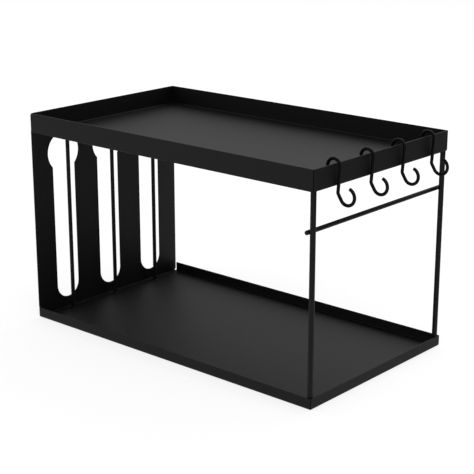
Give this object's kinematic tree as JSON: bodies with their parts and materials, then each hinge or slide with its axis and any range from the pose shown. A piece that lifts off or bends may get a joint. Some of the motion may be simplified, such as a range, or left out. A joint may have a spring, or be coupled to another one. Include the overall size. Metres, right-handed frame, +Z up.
{
  "type": "coffee capsule stand",
  "caption": "Two-tier black steel stand with a side panel of keyhole slots for coffee capsules, shallow trays above and below, and S-hooks that slide along the upper rim.",
  "frame": {"origin": "centre of the lower tray's flat resting face", "axes": "+X along the long side, away from the slotted side panel, +Y to the back, +Z up. The front is the side the picture is taken from."},
  "size_m": [0.3687, 0.2, 0.2154],
  "materials": {
    "sheet_black": "satin fine-texture powder coat on folded steel sheet",
    "rod_black": "satin powder coat on round steel rod",
    "hook_black": "smooth satin powder coat on bent steel wire"
  },
  "bodies": {
    "stand": {"bottom_tray": "sheet_black", "side_panel": "sheet_black", "top_tray": "sheet_black", "guide_rod_front": "rod_black", "guide_rod_middle": "rod_black", "guide_rod_back": "rod_black", "front_post": "rod_black", "back_post": "rod_black", "cross_bar": "rod_black"},
    "hook_1": {"hook_1": "hook_black"},
    "hook_2": {"hook_2": "hook_black"},
    "hook_3": {"hook_3": "hook_black"},
    "hook_4": {"hook_4": "hook_black"}
  },
  "joints": [
    {"name": "hook_1_slide", "type": "slide", "parent": "stand", "child": "hook_1", "axis": [0, 1, 0], "range_m": [-0.025, 0.0215]},
    {"name": "hook_2_slide", "type": "slide", "parent": "stand", "child": "hook_2", "axis": [0, 1, 0], "range_m": [-0.0215, 0.0215]},
    {"name": "hook_3_slide", "type": "slide", "parent": "stand", "child": "hook_3", "axis": [0, 1, 0], "range_m": [-0.0215, 0.0215]},
    {"name": "hook_4_slide", "type": "slide", "parent": "stand", "child": "hook_4", "axis": [0, 1, 0], "range_m": [-0.0215, 0.0215]}
  ]
}
